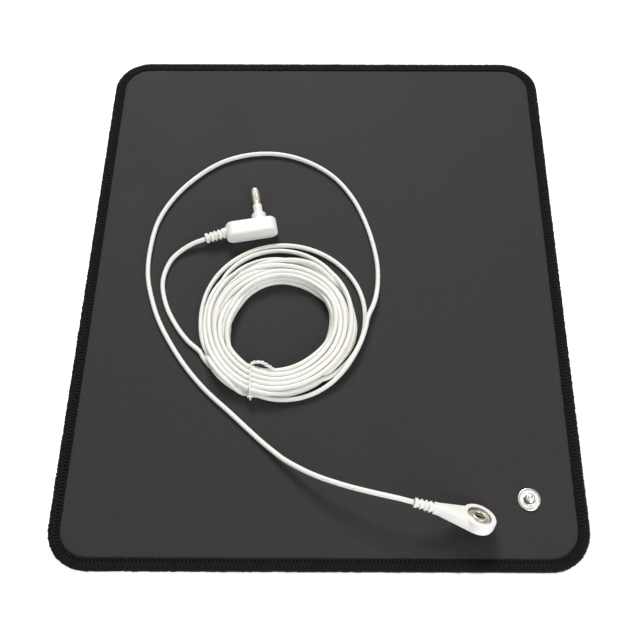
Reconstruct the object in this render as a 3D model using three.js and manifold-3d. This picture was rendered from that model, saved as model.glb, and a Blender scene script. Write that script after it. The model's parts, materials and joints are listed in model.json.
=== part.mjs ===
// Earthing mouse pad: a stitched sheet with a press stud in its near right corner, and its unplugged
// lead lying on top: snap connector, one big loop, a tied coil, and a right-angle plug with a 4 mm pin.
// Millimetres, +Z up, +Y away from the person who uses it. Origin: centre of the pad's underside.
import * as THREE from 'three';
import { mergeVertices } from 'three/addons/utils/BufferGeometryUtils.js';
import { ConvexGeometry } from 'three/addons/geometries/ConvexGeometry.js';
import Module from 'manifold-3d';

const wasm = await Module();
wasm.setup();

// Clearance between neighbours that fit into or lie along each other
const fit_gap = 0.3;

// Pad
const pad_width = 250;
const pad_length = 300;
const sheet_thickness = 3.3;
const corner_radius = 20;

// Overlocked edge: thread wrapped around the sheet's rim
const edge_width = 5.5;
const edge_proud = 0.5;
const thread_layer = 0.9;
const under_layer = 0.4;
const edge_rounding = 0.8;

// Press stud, and the rivet that clinches it from below
const stud_from_right = 27.3;
const stud_from_front = 33.4;
const stud_flange_radius = 5.4;
const stud_flange_thickness = 0.7;
const stud_flange_edge = 0.3;
const stud_head_radius = 2.2;
const stud_head_band = 0.5;
const stud_head_edge = 0.8;
const stud_neck_radius = 1.85;
const stud_neck_height = 1.1;
const stud_neck_fillet = 0.4;
const stud_height = 3.6;
const stud_dimple_radius = 0.8;
const stud_dimple_depth = 0.5;
const rivet_post_radius = 1.1;
const rivet_disc_radius = 5;
const rivet_disc_thickness = 0.5;
const rivet_disc_edge = 0.2;
const rivet_reach = 2.1;

// Cord
const cord_diameter = 2.4;
const cord_sides = 8;
const cord_lift = 0.15;

// Strain reliefs, moulded with crossed pairs of slots
const relief_slot = 1.1;
const relief_pitch = 2.15;
const relief_core_radius = 1.35;

// Snap connector
const head_radius = 8.1;
const head_thickness = 5.8;
const head_rounding = 1.2;
const arm_radius = 7.8;
const arm_top_radius = 6.9;
const arm_top = 2;
const arm_rounding = 1;
const connector_relief_length = 11.4;
const connector_reach = 30.4;
const connector_neck_radius = 2.85;
const connector_tail_radius = 2.2;
const mouth_radius = 5.75;
const mouth_depth = 2.1;
const pocket_radius = 3.8;
const pocket_depth = 3.9;
const connector_head_at = [72.1, -127.9, 10.5];
const connector_yaw = -12.1;
const connector_pitch = -12;
const connector_roll = 39.4;

// Metal socket in the snap connector's mouth
const socket_flange_thickness = 0.5;
const socket_lip_radius = 3.4;
const socket_lip_height = 1.2;
const socket_lip_edge = 0.3;
const socket_wall = 0.5;
const snap_clearance = 0.15;

// Right-angle plug
const plug_length = 27.8;
const plug_depth = 9.1;
const plug_height = 9.4;
const plug_corner = 4;
const plug_rounding = 1.4;
const plug_relief_length = 11;
const plug_relief_radius = 2.75;
const plug_relief_droop = 6;
const plug_relief_bend = 6;
const pin_from_plug_end = 8.9;
const collar_length = 4.9;
const collar_shoulder = 1.5;
const collar_radius = 4;
const sleeve_length = 5;
const sleeve_radius = 2.45;
const pin_radius = 2;
const pin_length = 11.4;
const pin_end_radius = 1.8;
const pin_point_radius = 0.7;
const pin_point_length = 1.4;
const pin_root_radius = 1.3;
const pin_root_length = 8;
const pin_slot = 0.5;
const pin_slot_margin = 1.6;
const plug_end_at = [-25, 31.3];
const plug_yaw = 10.2;

// Coil of the spare cord, and the wire tie around it
const coil_centre = [-21.5, -27.6];
const coil_hole_radius = 24.8;
const coil_width = 15.7;
const coil_height = 7.5;
const coil_rounding = 2.4;
const coil_segments = 56;
const tie_angle = -113;
const tie_wire = 1.2;
const tie_sink = 1.3;
const tie_tail_height = 5.4;
const tie_tail = [[22.9, 1.6, 10.4], [22.6, 4.6, 11.4], [24.4, 8.4, 12.2], [27.4, 11.2, 12.3]];

// Facets around a turned piece, and a margin that takes a cut or a joint past a face
const facets = 32;
const past = 1;

// Heights and places that follow from the sizes above
const top_z = sheet_thickness;
const edge_height = sheet_thickness + edge_proud;
const band_top = edge_height - thread_layer;
const cord_radius = cord_diameter / 2;
const cord_z = top_z + cord_radius + cord_lift;
const stud_at = [pad_width / 2 - stud_from_right, -pad_length / 2 + stud_from_front];
const hollow_radius = rivet_post_radius + fit_gap;
const deg = Math.PI / 180;

// The lead's route from the snap connector round to the coil; the first and last points are its ends
const lead_route = [
  [42.7, -121.6, 16.9], [36.6, -119.8, 17.5], [23.3, -117, 16.3], [9.9, -112.7, 13.6],
  [-3.8, -106.4, 10.3], [-16.6, -98.6, 7], [-22.4, -93.8, 5.7], [-28.3, -88.8, cord_z + 0.2],
  [-44.2, -74.6, cord_z], [-57.8, -62.1, cord_z], [-70.5, -46.9, cord_z], [-82.9, -26.6, cord_z],
  [-88.2, -13.5, cord_z], [-92.1, 1.8, cord_z], [-92.5, 18.3, cord_z], [-89.9, 35.7, cord_z],
  [-82.5, 51.4, cord_z], [-71.5, 64.7, cord_z], [-57.9, 75.2, cord_z], [-41.8, 80.6, cord_z],
  [-24.9, 80.7, cord_z], [-8.7, 75.2, cord_z], [5.4, 65, cord_z], [15.9, 50.7, cord_z],
  [22.7, 35, cord_z], [26.8, 20.2, cord_z], [28.8, 6.8, cord_z], [28.2, -6, cord_z + 0.4],
  [25.9, -15.5, cord_z + 1.9], [22.9, -22.4, cord_z + 2.9], [20.9, -29, cord_z + 3.1],
];
const lead_steps = 50;

// The outermost turn of the coil, which has sprung loose at the top and on the right
const loose_route = [
  [-56.3, -3.2, cord_z], [-47.8, 8.3, cord_z], [-37, 16.6, cord_z], [-25, 20.7, cord_z],
  [-12.8, 20, cord_z], [-1, 15.4, cord_z], [5.7, 11.1, cord_z], [11.6, 5.5, cord_z],
  [16.6, -1.3, cord_z], [20.2, -9.2, cord_z], [21.8, -17.7, cord_z], [22, -26.2, cord_z],
  [20.9, -33.4, cord_z],
];
const loose_steps = 18;

// The tail from the coil to the plug
const tail_route = [
  [-61, -43, cord_z], [-68.2, -35.9, cord_z], [-75.2, -26.6, cord_z], [-81.2, -14.8, cord_z],
  [-83.9, -1.4, cord_z], [-80.8, 11, cord_z], [-75.6, 17, cord_z + 0.4], [-69.8, 20.6, cord_z + 1.4],
  [-63.2, 23.2, cord_z + 2.1],
];
const tail_steps = 12;

// Closed geometry to a solid for cutting and joining, and back
function solid(geometry) {
  const bare = geometry.clone();
  bare.deleteAttribute('normal');
  bare.deleteAttribute('uv');
  const merged = mergeVertices(bare, 1e-4);
  const vertProperties = new Float32Array(merged.attributes.position.array);
  const triVerts = new Uint32Array(merged.index.array);
  return new wasm.Manifold(new wasm.Mesh({ numProp: 3, vertProperties, triVerts }));
}

function geometryOf(body) {
  const mesh = body.getMesh();
  const geometry = new THREE.BufferGeometry();
  geometry.setAttribute('position', new THREE.BufferAttribute(mesh.vertProperties, 3));
  geometry.setIndex(new THREE.BufferAttribute(mesh.triVerts, 1));
  return geometry;
}

// Rounded rectangle centred on the origin
function roundedRectangle(width, length, radius) {
  const x = width / 2;
  const y = length / 2;
  const shape = new THREE.Shape();
  shape.absarc(x - radius, y - radius, radius, 0, Math.PI / 2);
  shape.absarc(radius - x, y - radius, radius, Math.PI / 2, Math.PI);
  shape.absarc(radius - x, radius - y, radius, Math.PI, 1.5 * Math.PI);
  shape.absarc(x - radius, radius - y, radius, 1.5 * Math.PI, 2 * Math.PI);
  shape.closePath();
  return shape;
}

// A plate of the pad's outline, moved in by inset, between two heights
function padPlate(inset, low, high, rounding = 0) {
  const shape = roundedRectangle(pad_width - 2 * inset, pad_length - 2 * inset, corner_radius - inset);
  const geometry = new THREE.ExtrudeGeometry(shape, {
    depth: high - low - 2 * rounding,
    curveSegments: 8,
    bevelEnabled: rounding > 0,
    bevelThickness: rounding,
    bevelSize: rounding,
    bevelOffset: -rounding,
    bevelSegments: 3,
  });
  geometry.translate(0, 0, low + rounding);
  return solid(geometry);
}

// Solid of revolution about Z from a profile of [radius, height] points
function turned(profile, segments = facets) {
  const points = profile.map(([radius, height]) => new THREE.Vector2(radius, height));
  const geometry = new THREE.LatheGeometry(points, segments);
  geometry.rotateX(Math.PI / 2);
  return geometry;
}

function cylinder(radius, low, high) {
  return solid(turned([[0, low], [radius, low], [radius, high], [0, high]]));
}

function matSheet() {
  const core = padPlate(edge_width + fit_gap, 0, sheet_thickness);
  const band = padPlate(thread_layer + fit_gap, under_layer, band_top);
  const hole = cylinder(hollow_radius, -past, sheet_thickness + past).translate([...stud_at, 0]);
  const recess = cylinder(rivet_disc_radius + fit_gap, -past, rivet_disc_thickness);
  return core.add(band).subtract(hole).subtract(recess.translate([...stud_at, 0]));
}

function edgeStitching() {
  const wrap = padPlate(0, 0, edge_height, edge_rounding);
  const inside = padPlate(edge_width, -past, edge_height + past);
  const groove = padPlate(thread_layer, under_layer, band_top);
  return wrap.subtract(inside).subtract(groove);
}

function snapStud() {
  const neck_top = stud_flange_thickness + stud_neck_height;
  const head_middle = (neck_top + stud_height) / 2;
  return turned([
    [0, rivet_reach + fit_gap],
    [hollow_radius, rivet_reach + fit_gap],
    [hollow_radius, 0],
    [stud_flange_radius, 0],
    [stud_flange_radius, stud_flange_thickness - stud_flange_edge],
    [stud_flange_radius - stud_flange_edge, stud_flange_thickness],
    [stud_neck_radius + stud_neck_fillet, stud_flange_thickness],
    [stud_neck_radius, stud_flange_thickness + stud_neck_fillet],
    [stud_neck_radius, neck_top],
    [stud_head_radius, head_middle - stud_head_band / 2],
    [stud_head_radius, head_middle + stud_head_band / 2],
    [stud_head_radius - stud_head_edge * 0.4, stud_height - stud_head_edge * 0.3],
    [stud_head_radius - stud_head_edge, stud_height],
    [stud_dimple_radius, stud_height],
    [stud_dimple_radius / 2, stud_height - stud_dimple_depth],
    [0, stud_height - stud_dimple_depth],
  ]);
}

function snapRivet() {
  return turned([
    [0, 0],
    [rivet_disc_radius - rivet_disc_edge, 0],
    [rivet_disc_radius, rivet_disc_edge],
    [rivet_disc_radius, rivet_disc_thickness],
    [rivet_post_radius, rivet_disc_thickness],
    [rivet_post_radius, sheet_thickness + rivet_reach],
    [0, sheet_thickness + rivet_reach],
  ]);
}

// Strain relief along +X from the origin, slotted in turn from above and below and from both sides
function strainRelief(length, start_radius, end_radius) {
  const cone = turned([[0, 0], [start_radius, 0], [end_radius, length], [0, length]]);
  let relief = solid(cone.rotateY(Math.PI / 2));
  const reach = 2 * end_radius;
  const count = Math.floor((length - relief_slot) / relief_pitch);
  for (let i = 0; i < count; i += 1) {
    for (const side of [-1, 1]) {
      const slot = new THREE.BoxGeometry(relief_slot, reach, reach);
      const away = side * (relief_core_radius + reach / 2);
      const across = i % 2 === 0;
      slot.translate(relief_pitch * (i + 1), across ? away : 0, across ? 0 : away);
      relief = relief.subtract(solid(slot));
    }
  }
  return relief;
}

// The arm between the connector's relief and its head: lower than the head's rim, level with its back
function connectorArm() {
  const back = head_rounding - head_thickness / 2;
  const rings = [
    [arm_radius - arm_rounding, back - arm_rounding],
    [arm_radius, back],
    [arm_top_radius, arm_top - arm_rounding],
    [arm_top_radius - arm_rounding, arm_top],
  ];
  const points = [];
  for (let i = 0; i < facets; i += 1) {
    const x = Math.cos((i / facets) * 2 * Math.PI);
    const y = Math.sin((i / facets) * 2 * Math.PI);
    const neck = new THREE.Vector3(0, x, y).multiplyScalar(connector_neck_radius);
    points.push(neck.setX(connector_relief_length));
    for (const [radius, z] of rings) {
      points.push(new THREE.Vector3(connector_reach + radius * x, radius * y, z));
    }
  }
  return solid(new ConvexGeometry(points));
}

// Snap connector along +X from the end of its strain relief, with its mouth facing +Z
function connectorHousing() {
  const half = head_thickness / 2;
  const flat = head_radius - head_rounding;
  const rim = head_radius - head_rounding * 0.3;
  const shoulder = half - head_rounding;
  const edge = half - head_rounding * 0.3;
  const upper = [[head_radius, shoulder], [rim, edge], [flat, half], [0, half]];
  const lower = upper.map(([radius, z]) => [radius, -z]).reverse();
  const head = solid(turned([...lower, ...upper])).translate([connector_reach, 0, 0]);
  const mouth = cylinder(mouth_radius, half - mouth_depth, half + past);
  const pocket = cylinder(pocket_radius, half - pocket_depth, half).add(mouth).translate([connector_reach, 0, 0]);
  const relief = strainRelief(connector_relief_length + past, connector_tail_radius, connector_neck_radius);
  return head.add(connectorArm()).add(relief).subtract(pocket);
}

// Metal socket that the stud's head snaps into, in the connector's own frame: a flange on the mouth's
// floor, a lip around the bore, and a hub in the pocket below
function connectorSocket() {
  const seat = head_thickness / 2 - mouth_depth + fit_gap;
  const hub_bottom = head_thickness / 2 - pocket_depth + fit_gap;
  const hub_radius = pocket_radius - fit_gap;
  const bore = stud_head_radius + snap_clearance;
  const flange_radius = mouth_radius - fit_gap;
  const flange_top = seat + socket_flange_thickness;
  const lip_top = flange_top + socket_lip_height;
  const profile = [
    [0, hub_bottom],
    [hub_radius, hub_bottom],
    [hub_radius, seat],
    [flange_radius, seat],
    [flange_radius, flange_top],
    [socket_lip_radius + socket_wall, flange_top],
    [socket_lip_radius, lip_top - socket_lip_edge],
    [socket_lip_radius - socket_lip_edge, lip_top],
    [bore + socket_lip_edge, lip_top],
    [bore, lip_top - socket_lip_edge],
    [bore, hub_bottom + socket_wall],
    [0, hub_bottom + socket_wall],
  ];
  return turned(profile).translate(connector_reach, 0, 0);
}

// Plug along +X from the end of its strain relief, with its pin along +Y
const pin_x = plug_relief_length + plug_length - pin_from_plug_end;
const sleeve_end = plug_depth / 2 + collar_length + sleeve_length;

function alongPin(geometry) {
  return geometry.rotateX(-Math.PI / 2).rotateY(Math.PI).translate(pin_x, 0, 0);
}

function plugBlock() {
  const block = new THREE.ExtrudeGeometry(roundedRectangle(plug_length, plug_height, plug_corner), {
    depth: plug_depth - 2 * plug_rounding,
    curveSegments: 6,
    bevelThickness: plug_rounding,
    bevelSize: plug_rounding,
    bevelOffset: -plug_rounding,
    bevelSegments: 3,
  });
  block.translate(0, 0, plug_rounding - plug_depth / 2);
  return solid(block.rotateX(Math.PI / 2).translate(plug_relief_length + plug_length / 2, 0, 0));
}

// The lead pulls the plug's relief down and to one side
function plugRelief() {
  const relief = strainRelief(plug_relief_length + past, plug_relief_radius, plug_relief_radius);
  const lean = [0, -plug_relief_droop, plug_relief_bend];
  const bent = relief.translate([-plug_relief_length, 0, 0]).rotate(lean);
  return bent.translate([plug_relief_length, 0, 0]);
}

function plugBody() {
  const collar_end = plug_depth / 2 + collar_length;
  const nose = turned([
    [0, 0],
    [collar_radius, 0],
    [collar_radius, collar_end - collar_shoulder],
    [sleeve_radius, collar_end],
    [sleeve_radius, sleeve_end],
    [0, sleeve_end],
  ]);
  const bore_start = sleeve_end - pin_root_length - fit_gap;
  const bore = turned([
    [0, bore_start],
    [pin_root_radius + fit_gap, bore_start],
    [pin_root_radius + fit_gap, sleeve_end + past],
    [0, sleeve_end + past],
  ]);
  return plugBlock().add(solid(alongPin(nose))).add(plugRelief()).subtract(solid(alongPin(bore)));
}

function plugPin() {
  const start = sleeve_end + fit_gap;
  const end = sleeve_end + pin_length;
  const middle = (start + end) / 2;
  const belly = pin_length / 10;
  const pin = turned([
    [0, sleeve_end - pin_root_length],
    [pin_root_radius, sleeve_end - pin_root_length],
    [pin_root_radius, start],
    [pin_end_radius, start],
    [pin_radius, middle - belly],
    [pin_radius, middle + belly],
    [pin_end_radius, end - pin_point_length],
    [pin_point_radius * 2, end - pin_point_length / 3],
    [pin_point_radius, end],
    [0, end],
  ]);
  const slot_length = end - start - pin_point_length - pin_slot_margin;
  const slot_middle = start + pin_slot_margin + slot_length / 2;
  const slot = new THREE.BoxGeometry(pin_slot, slot_length, 3 * pin_radius);
  slot.translate(pin_x, slot_middle, 0);
  const cross = new THREE.BoxGeometry(3 * pin_radius, slot_length, pin_slot);
  cross.translate(pin_x, slot_middle, 0);
  return solid(alongPin(pin)).subtract(solid(slot)).subtract(solid(cross));
}

// Section of the coil, from [inner radius, bottom] to [outer radius, top], as closed corner points
function coilSection(shrink = 0) {
  const radius = coil_rounding - shrink;
  const inner = coil_hole_radius + coil_rounding;
  const outer = coil_hole_radius + coil_width - coil_rounding;
  const bottom = top_z + coil_rounding;
  const top = top_z + coil_height - coil_rounding;
  const points = [];
  const corners = [[outer, top, 0], [inner, top, 90], [inner, bottom, 180], [outer, bottom, 270]];
  for (const [x, z, turn] of corners) {
    for (let i = 0; i <= 3; i += 1) {
      const angle = (turn + 30 * i) * deg;
      points.push([x + radius * Math.cos(angle), z + radius * Math.sin(angle)]);
    }
  }
  return points;
}

// A slab of the coil's section, grown by grow, standing radially and thick along the turns
function sectionSlab(grow, thickness) {
  const shape = new THREE.Shape(coilSection(-grow).map(([x, z]) => new THREE.Vector2(x, z)));
  const geometry = new THREE.ExtrudeGeometry(shape, { depth: thickness, bevelEnabled: false });
  geometry.rotateX(Math.PI / 2);
  geometry.translate(0, thickness / 2, 0);
  return solid(geometry);
}

// The coil's ring is squeezed in by the tie, so a groove runs around its section there
function cordCoil() {
  const section = coilSection();
  const ring = solid(turned([...section, section[0]], coil_segments)).rotate([0, 0, -tie_angle]);
  const squeeze = tie_sink + fit_gap;
  const groove = sectionSlab(past, tie_wire + 2 * fit_gap).subtract(sectionSlab(-squeeze, 2 * tie_wire));
  return ring.subtract(groove);
}

function coilTie() {
  const outer = sectionSlab(tie_wire - tie_sink, tie_wire);
  const loop = outer.subtract(sectionSlab(-tie_sink, 2 * tie_wire));
  const path = new THREE.CatmullRomCurve3([
    new THREE.Vector3(coil_hole_radius + tie_sink, 0, top_z + tie_tail_height),
    ...tie_tail.map((point) => new THREE.Vector3(...point)),
  ]);
  const tail = new THREE.ExtrudeGeometry(circle(tie_wire / 2, 6), { steps: 10, extrudePath: path });
  return loop.add(solid(tail));
}

function circle(radius, sides) {
  const shape = new THREE.Shape();
  for (let i = 0; i < sides; i += 1) {
    const angle = (i / sides) * 2 * Math.PI;
    if (i === 0) shape.moveTo(radius, 0);
    else shape.lineTo(radius * Math.cos(angle), radius * Math.sin(angle));
  }
  shape.closePath();
  return shape;
}

function cordTube(route, steps) {
  const path = new THREE.CatmullRomCurve3(route.map((point) => new THREE.Vector3(...point)));
  return new THREE.ExtrudeGeometry(circle(cord_radius, cord_sides), { steps, extrudePath: path });
}

// Materials
function finish(color, roughness, metalness) {
  return new THREE.MeshStandardMaterial({ color, roughness, metalness });
}

const leather = finish(0x423f40, 0.75, 0);
const thread = finish(0x232321, 0.8, 0);
const nickel = finish(0xd9d6cf, 0.25, 1);
const plastic = finish(0xf3f2ee, 0.4, 0);
const cord_jacket = finish(0xfbfbf8, 0.45, 0);
const tie_plastic = finish(0xe9e9e4, 0.35, 0);

function piece(name, geometry, material) {
  const mesh = new THREE.Mesh(geometry, material);
  mesh.name = name;
  return mesh;
}

// The object, with the connector, the plug and the coil each in a group of its own
const pad = new THREE.Group();
pad.add(piece('mat_sheet', geometryOf(matSheet()), leather));
pad.add(piece('edge_stitching', geometryOf(edgeStitching()), thread));

const stud = piece('snap_stud', snapStud(), nickel);
stud.position.set(...stud_at, top_z);
const rivet = piece('snap_rivet', snapRivet(), nickel);
rivet.position.set(...stud_at, 0);
pad.add(stud, rivet);

const connector = new THREE.Group();
connector.add(piece('snap_connector', geometryOf(connectorHousing()), plastic));
connector.add(piece('connector_socket', connectorSocket(), nickel));
connector.rotation.set(-connector_roll * deg, -connector_pitch * deg, connector_yaw * deg, 'ZYX');
const reach = new THREE.Vector3(connector_reach, 0, 0).applyEuler(connector.rotation);
connector.position.set(...connector_head_at).sub(reach);
pad.add(connector);

const plug = new THREE.Group();
plug.add(piece('plug_body', geometryOf(plugBody()), plastic));
plug.add(piece('plug_pin', geometryOf(plugPin()), nickel));
const plug_reach = plug_relief_length + plug_length;
plug.rotation.z = plug_yaw * deg;
plug.position.set(
  plug_end_at[0] - plug_reach * Math.cos(plug_yaw * deg),
  plug_end_at[1] - plug_reach * Math.sin(plug_yaw * deg),
  top_z + plug_height / 2,
);
pad.add(plug);

const coil = new THREE.Group();
coil.add(piece('cord_coil', geometryOf(cordCoil()), cord_jacket));
coil.add(piece('coil_tie', geometryOf(coilTie()), tie_plastic));
coil.position.set(...coil_centre, 0);
coil.rotation.z = tie_angle * deg;
pad.add(coil);

pad.add(piece('cord_lead', cordTube(lead_route, lead_steps), cord_jacket));
pad.add(piece('cord_loose_turn', cordTube(loose_route, loose_steps), cord_jacket));
pad.add(piece('cord_tail', cordTube(tail_route, tail_steps), cord_jacket));

export default pad;
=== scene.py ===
import json
import math

import bmesh
import bpy
import numpy as np
from mathutils import Matrix, Vector

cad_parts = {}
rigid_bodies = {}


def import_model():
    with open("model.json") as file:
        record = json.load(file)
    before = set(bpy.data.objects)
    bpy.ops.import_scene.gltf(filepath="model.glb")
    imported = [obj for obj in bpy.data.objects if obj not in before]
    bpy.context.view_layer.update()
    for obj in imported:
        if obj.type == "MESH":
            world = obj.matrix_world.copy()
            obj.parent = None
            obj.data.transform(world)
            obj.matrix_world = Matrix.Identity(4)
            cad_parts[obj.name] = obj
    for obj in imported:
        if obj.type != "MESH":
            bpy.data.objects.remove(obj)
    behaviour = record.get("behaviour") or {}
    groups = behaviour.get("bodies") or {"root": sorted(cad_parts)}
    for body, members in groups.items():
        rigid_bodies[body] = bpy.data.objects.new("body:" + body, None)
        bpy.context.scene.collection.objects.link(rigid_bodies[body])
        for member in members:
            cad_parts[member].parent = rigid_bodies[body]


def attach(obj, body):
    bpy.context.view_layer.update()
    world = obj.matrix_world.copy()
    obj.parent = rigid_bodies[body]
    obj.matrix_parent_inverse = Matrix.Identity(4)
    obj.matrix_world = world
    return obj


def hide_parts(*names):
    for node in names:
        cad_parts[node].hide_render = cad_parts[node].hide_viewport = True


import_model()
scene = bpy.context.scene
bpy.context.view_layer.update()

# Every length in this file's shapes is in millimetres, and becomes metres where a mesh or curve is made
MM = 0.001
TAU = 2 * math.pi

# Pad
PAD_WIDTH = 250
PAD_LENGTH = 300
PAD_TOP = 3.3
CORNER = 20
STUD_AT = (97.7, -116.6)

# Cord
CORD = 2.4
FLOOR = PAD_TOP + CORD / 2 + 0.05
COIL_CENTRE = (-21.5, -27.6)
COIL_HOLE = 24.8

# Plug and snap connector: each along +X from the free end of its strain relief
CONNECTOR_REACH = 30.4
HEAD_AT = (72.1, -127.9, 10.5)
PLUG_REACH = 38.8
PLUG_END = (-25, 31.3, 8.0)
PIN_X = 29.9


def placement(yaw, pitch, roll, reach, at):
    """Matrix that turns a piece and puts the point at reach on its own X axis at the given place."""
    turn = (Matrix.Rotation(math.radians(yaw), 4, "Z") @ Matrix.Rotation(math.radians(-pitch), 4, "Y")
            @ Matrix.Rotation(math.radians(-roll), 4, "X"))
    return Matrix.Translation(Vector(at) - turn @ Vector((reach, 0, 0))) @ turn


CONNECTOR = placement(-12.1, -12, 39.4, CONNECTOR_REACH, HEAD_AT)
PLUG = placement(10.2, 0, 0, PLUG_REACH, PLUG_END)


def moved(matrix, points):
    m = np.array(matrix)
    return np.asarray(points, float) @ m[:3, :3].T + m[:3, 3]


# Materials

def principled(name, color, roughness, metallic=0.0, specular=0.5):
    made = bpy.data.materials.new(name)
    made.use_nodes = True
    shader = made.node_tree.nodes["Principled BSDF"]
    shader.inputs["Base Color"].default_value = (*color, 1)
    shader.inputs["Roughness"].default_value = roughness
    shader.inputs["Metallic"].default_value = metallic
    shader.inputs["Specular IOR Level"].default_value = specular
    return made, shader


def node(shader, kind, inputs=(), **settings):
    """A new node beside the shader: settings are its properties, inputs its values or links by name."""
    tree = shader.id_data
    made = tree.nodes.new(kind)
    for key, value in settings.items():
        setattr(made, key, value)
    for key, value in dict(inputs).items():
        if isinstance(value, bpy.types.NodeSocket):
            tree.links.new(value, made.inputs[key])
        else:
            made.inputs[key].default_value = value
    return made


def link(shader, output, name):
    shader.id_data.links.new(output, shader.inputs[name])


def place_of(shader, kind="Object"):
    return node(shader, "ShaderNodeTexCoord").outputs[kind]


def noise(shader, scale, detail):
    inputs = {"Vector": place_of(shader), "Scale": scale, "Detail": detail, "Roughness": 0.5}
    return node(shader, "ShaderNodeTexNoise", inputs).outputs["Fac"]


def mapped(shader, value, low, high, to_low, to_high):
    inputs = {"Value": value, "From Min": low, "From Max": high, "To Min": to_low, "To Max": to_high}
    return node(shader, "ShaderNodeMapRange", inputs).outputs["Result"]


def math_node(shader, operation, a, b=0.0):
    return node(shader, "ShaderNodeMath", {0: a, 1: b}, operation=operation).outputs[0]


def mixed(shader, factor, color_a, color_b):
    """Colour between two, by factor."""
    made = node(shader, "ShaderNodeMix", data_type="RGBA")
    shader.id_data.links.new(factor, made.inputs["Factor"])
    for key, value in (("A", color_a), ("B", color_b)):
        socket = next(s for s in made.inputs if s.name == key and s.type == "RGBA")
        if isinstance(value, bpy.types.NodeSocket):
            shader.id_data.links.new(value, socket)
        else:
            socket.default_value = (*value, 1)
    return next(s for s in made.outputs if s.type == "RGBA")


def bump(shader, height, distance, strength=1.0, normal=None):
    inputs = {"Height": height, "Distance": distance, "Strength": strength}
    if normal is not None:
        inputs["Normal"] = normal
    return node(shader, "ShaderNodeBump", inputs).outputs["Normal"]


def leather_material():
    made, shader = principled("pad_leather", (0.036, 0.0335, 0.0345), 0.62, specular=0.14)
    inputs = {"Vector": place_of(shader), "Scale": 1150.0, "Randomness": 0.9}
    cells = node(shader, "ShaderNodeTexVoronoi", inputs, feature="DISTANCE_TO_EDGE").outputs["Distance"]
    pebbles = mapped(shader, cells, 0.0, 0.22, 0.0, 1.0)
    cloud = noise(shader, 22.0, 4.0)
    fine = noise(shader, 5200.0, 2.0)
    # Painted shade: the colour darkens in the creases between the grain's pebbles, on top of their bump.
    crease_shade = mapped(shader, pebbles, 0.0, 0.45, 0.0, 1.0)
    patches = mapped(shader, cloud, 0.3, 0.7, 0.0, 1.0)
    tone = mixed(shader, patches, (0.037, 0.0345, 0.0352), (0.041, 0.0382, 0.039))
    link(shader, mixed(shader, crease_shade, (0.0275, 0.0255, 0.026), tone), "Base Color")
    link(shader, mapped(shader, cloud, 0.3, 0.7, 0.62, 0.7), "Roughness")
    normal = bump(shader, pebbles, 0.00006, 0.5)
    link(shader, bump(shader, fine, 0.000015, 0.4, normal), "Normal")
    return made


def rubber_material():
    made, shader = principled("pad_underside", (0.02, 0.02, 0.021), 0.8, specular=0.3)
    inputs = {"Vector": place_of(shader), "Scale": 520.0}
    weave = node(shader, "ShaderNodeTexVoronoi", inputs).outputs["Distance"]
    cloud = noise(shader, 40.0, 4.0)
    link(shader, mixed(shader, cloud, (0.016, 0.016, 0.017), (0.026, 0.026, 0.027)), "Base Color")
    link(shader, bump(shader, weave, 0.00012, 0.6), "Normal")
    return made


def thread_material(name, dark, light):
    """Twisted thread: the UV map holds the distance along the thread in mm and the turn around it."""
    ply_twist = 0.85
    made, shader = principled(name, light, 0.7, specular=0.2)
    around = node(shader, "ShaderNodeSeparateXYZ", {0: place_of(shader, "UV")})
    along = math_node(shader, "MULTIPLY", around.outputs[0], TAU / ply_twist)
    turn = math_node(shader, "MULTIPLY", around.outputs[1], 2 * TAU)
    ply = math_node(shader, "SINE", math_node(shader, "ADD", along, turn))
    hairs = noise(shader, 4200.0, 3.0)
    # Painted shade: the colour darkens to dark in the grooves between the plies, on top of their bump;
    # the hairs add random tone.
    ply_groove_shade = mapped(shader, ply, -1.0, 0.6, 0.25, 1.0)
    fuzz = mapped(shader, hairs, 0.3, 0.7, 0.7, 1.0)
    shade = math_node(shader, "MULTIPLY", ply_groove_shade, fuzz)
    link(shader, mixed(shader, shade, dark, light), "Base Color")
    normal = bump(shader, mapped(shader, ply, -1.0, 1.0, 0.0, 1.0), 0.00008, 0.8)
    link(shader, bump(shader, hairs, 0.00003, 0.4, normal), "Normal")
    return made


def metal_material(name, color, dull, roughness):
    made, shader = principled(name, color, roughness, metallic=1.0)
    cloud = noise(shader, 600.0, 4.0)
    fine = noise(shader, 6000.0, 2.0)
    patches = mapped(shader, cloud, 0.35, 0.7, 0.0, 1.0)
    link(shader, mixed(shader, patches, color, dull), "Base Color")
    link(shader, mapped(shader, cloud, 0.3, 0.7, roughness * 0.8, roughness * 1.35), "Roughness")
    link(shader, bump(shader, fine, 0.000002, 0.15), "Normal")
    return made


def plastic_material(name, color, shaded, roughness, grain, subsurface):
    made, shader = principled(name, color, roughness, specular=0.45)
    shader.inputs["Subsurface Weight"].default_value = subsurface
    shader.inputs["Subsurface Radius"].default_value = (0.8, 0.7, 0.55)
    shader.inputs["Subsurface Scale"].default_value = 0.0008
    cloud = noise(shader, 180.0, 3.0)
    fine = noise(shader, grain, 3.0)
    patches = mapped(shader, cloud, 0.3, 0.7, 0.0, 1.0)
    link(shader, mixed(shader, patches, shaded, color), "Base Color")
    link(shader, mapped(shader, fine, 0.3, 0.7, roughness * 0.85, roughness * 1.15), "Roughness")
    link(shader, bump(shader, fine, 0.00001, 0.5), "Normal")
    return made


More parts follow.
